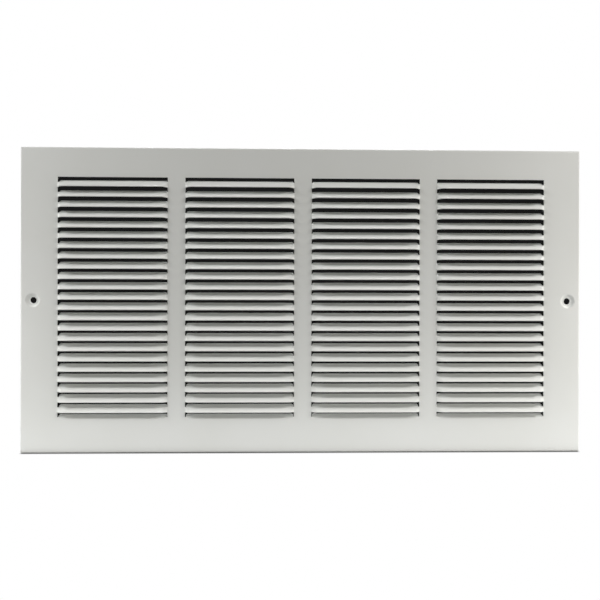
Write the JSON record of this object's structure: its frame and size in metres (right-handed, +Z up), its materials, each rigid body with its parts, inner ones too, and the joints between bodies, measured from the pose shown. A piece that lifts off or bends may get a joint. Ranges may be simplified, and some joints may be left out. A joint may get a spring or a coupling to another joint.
{
  "type": "louvred return air grille",
  "caption": "Stamped steel return air grille with banks of fixed horizontal louvres, a turned-back rim and two dished screw holes.",
  "frame": {"origin": "middle of the wall plane that the rear edge of the rim rests on", "axes": "+X to the right seen from the room, +Y into the wall, +Z up"},
  "size_m": [0.452, 0.0091, 0.2456],
  "materials": {
    "coated_steel": "satin white powder coat"
  },
  "bodies": {
    "root": {"top_margin": "coated_steel", "bottom_margin": "coated_steel", "left_margin_upper": "coated_steel", "left_margin_lower": "coated_steel", "left_screw_seat": "coated_steel", "right_margin_upper": "coated_steel", "right_margin_lower": "coated_steel", "right_screw_seat": "coated_steel", "top_flange": "coated_steel", "bottom_flange": "coated_steel", "left_flange": "coated_steel", "right_flange": "coated_steel", "mullion_1": "coated_steel", "mullion_2": "coated_steel", "mullion_3": "coated_steel", "louvre_bank_1": "coated_steel", "louvre_bank_2": "coated_steel", "louvre_bank_3": "coated_steel", "louvre_bank_4": "coated_steel"}
  },
  "joints": []
}
